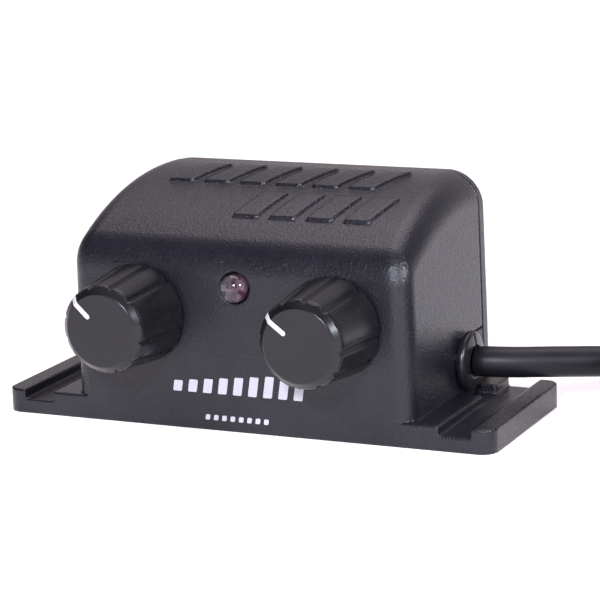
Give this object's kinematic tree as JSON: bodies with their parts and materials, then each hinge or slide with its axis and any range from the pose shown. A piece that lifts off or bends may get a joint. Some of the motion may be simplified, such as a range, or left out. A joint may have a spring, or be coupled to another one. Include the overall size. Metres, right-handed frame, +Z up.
{
  "type": "two-knob vehicle control unit",
  "caption": "Small black moulded control box with strap flanges, fluted rotary knobs, indicator LED and a side cable on a coil to an inline round connector.",
  "frame": {"origin": "centre of the underside of the base plate", "axes": "+X to the right along the flanges seen from the knobs, +Y from the knobs to the back cover, +Z up"},
  "size_m": [0.1712, 0.0682, 0.0394],
  "materials": {
    "case_plastic": "fine spark-eroded texture, semi-matt black",
    "knob_plastic": "smooth satin black",
    "pointer_white": "smooth white",
    "rubber": "smooth satin black rubber",
    "cable_jacket": "satin black PVC jacket",
    "led_lens": "clear, faintly pink epoxy",
    "zinc_steel": "bright zinc plate",
    "shaft_steel": "turned steel",
    "track_wafer": "brown phenolic laminate",
    "board": "green solder mask",
    "black_epoxy": "moulded black epoxy",
    "capacitor_sleeve": "dark blue shrink sleeve",
    "header_plastic": "green polyamide",
    "wire_insulation": "PVC insulation",
    "tie_nylon": "black nylon",
    "connector_metal": "satin nickel"
  },
  "bodies": {
    "housing": {"front_case": "case_plastic", "back_cover": "case_plastic", "cover_screw_1": "zinc_steel", "cover_screw_2": "zinc_steel", "cover_screw_3": "zinc_steel", "cover_screw_4": "zinc_steel", "cable_grommet": "rubber", "left_pot_housing": "zinc_steel", "left_pot_track": "track_wafer", "left_pot_can": "zinc_steel", "left_pot_washer": "zinc_steel", "left_pot_nut": "zinc_steel", "right_pot_housing": "zinc_steel", "right_pot_track": "track_wafer", "right_pot_can": "zinc_steel", "right_pot_washer": "zinc_steel", "right_pot_nut": "zinc_steel", "status_led": "led_lens", "circuit_board": "board", "amplifier_chip": "black_epoxy", "voltage_regulator": "black_epoxy", "filter_capacitor": "capacitor_sleeve", "output_capacitor": "capacitor_sleeve", "cable_header": "header_plastic", "cable_end": "cable_jacket", "core_wire_1": "wire_insulation", "core_wire_2": "wire_insulation", "core_wire_3": "wire_insulation", "core_wire_4": "wire_insulation", "cable_lead": "cable_jacket", "cable_coil": "cable_jacket", "coil_tie": "tie_nylon", "cable_tail": "cable_jacket", "connector_boot": "rubber", "connector_shell": "connector_metal", "connector_ring": "connector_metal", "connector_insert": "black_epoxy"},
    "left_control": {"left_knob": "knob_plastic", "left_knob_pointer": "pointer_white", "left_pot_shaft": "shaft_steel", "left_pot_wiper": "shaft_steel"},
    "right_control": {"right_knob": "knob_plastic", "right_knob_pointer": "pointer_white", "right_pot_shaft": "shaft_steel", "right_pot_wiper": "shaft_steel"}
  },
  "joints": [
    {"name": "left_knob_turn", "type": "hinge", "parent": "housing", "child": "left_control", "pos_m": [-0.0174, -0.0152, 0.019], "axis": [0, 1, 0], "range_deg": [-104, 196]},
    {"name": "right_knob_turn", "type": "hinge", "parent": "housing", "child": "right_control", "pos_m": [0.0174, -0.0152, 0.019], "axis": [0, 1, 0], "range_deg": [-97, 203]}
  ]
}
